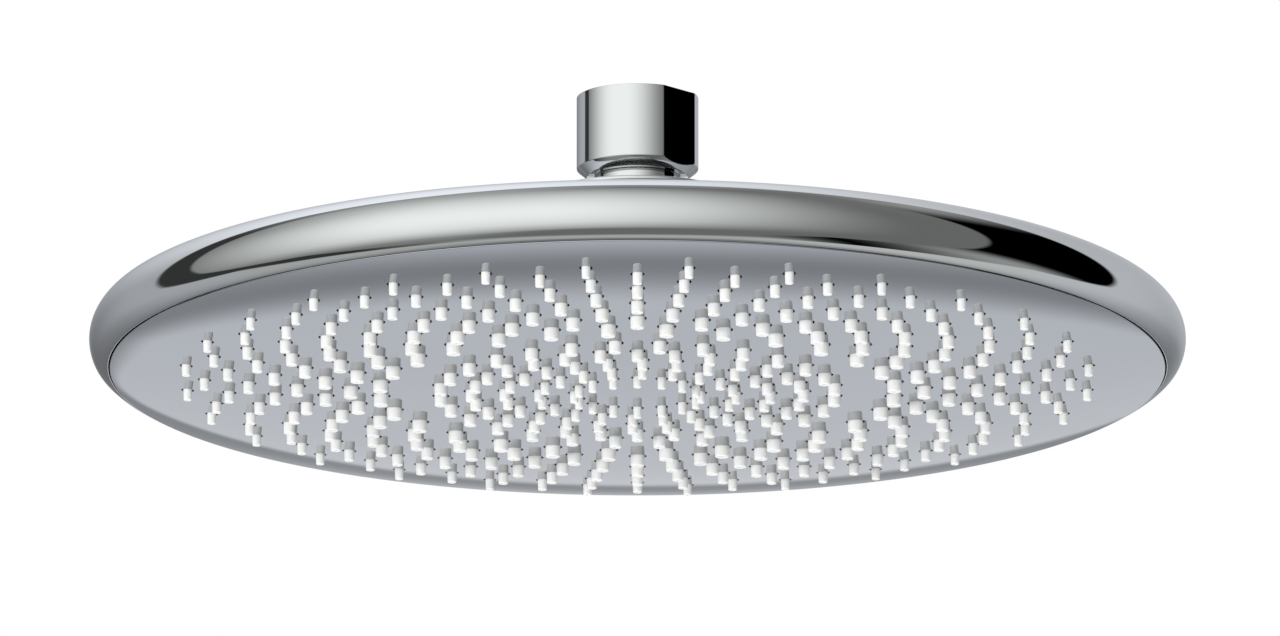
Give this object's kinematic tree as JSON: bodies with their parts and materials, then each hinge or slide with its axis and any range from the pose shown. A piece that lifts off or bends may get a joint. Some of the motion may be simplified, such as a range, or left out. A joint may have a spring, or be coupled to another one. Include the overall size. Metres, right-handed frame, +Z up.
{
  "type": "rain shower head",
  "caption": "Round overhead rain shower head: chromed low bell body, domed mirror face plate with rings of soft spray nozzles, and a threaded swivel ball inlet with wrench flats.",
  "frame": {"origin": "centre of the inlet nut's top face, where the supply pipe enters", "axes": "+Z up along the inlet's axis, out of its mouth; -Y towards the front of the head; the face plate looks down"},
  "size_m": [0.25, 0.25, 0.0717],
  "materials": {
    "inlet_chrome": "bright chrome plate on turned brass",
    "shell_chrome": "bright chrome plate on moulded plastic",
    "plate_chrome": "mirror chrome plate on moulded plastic",
    "nozzle_silicone": "soft white silicone",
    "seal_rubber": "black rubber",
    "filter_steel": "woven stainless screen",
    "screw_steel": "bright stainless steel",
    "regulator_plastic": "moulded pale plastic",
    "bearing_plastic": "smooth dark bearing plastic",
    "waterway_plastic": "moulded grey plastic"
  },
  "bodies": {
    "inlet": {"inlet_nut": "inlet_chrome", "ball_stem": "inlet_chrome", "stem_oring": "seal_rubber", "inlet_washer": "seal_rubber", "filter_screen": "filter_steel", "flow_regulator": "regulator_plastic", "regulator_ring": "seal_rubber"},
    "liner": {"ball_liner": "bearing_plastic"},
    "head": {"ball_collar": "bearing_plastic", "ball_seal": "seal_rubber", "seal_washer": "bearing_plastic", "waterway_plate": "waterway_plastic", "body_shell": "shell_chrome", "shell_screws": "screw_steel", "nozzle_mat": "nozzle_silicone", "face_plate": "plate_chrome"}
  },
  "joints": [
    {"name": "turn", "type": "hinge", "parent": "inlet", "child": "liner", "pos_m": [0, 0, -0.0334], "axis": [0, 0, 1], "continuous": true},
    {"name": "tilt", "type": "hinge", "parent": "liner", "child": "head", "pos_m": [0, 0, -0.0334], "axis": [1, 0, 0], "range_deg": [-12, 12]}
  ]
}
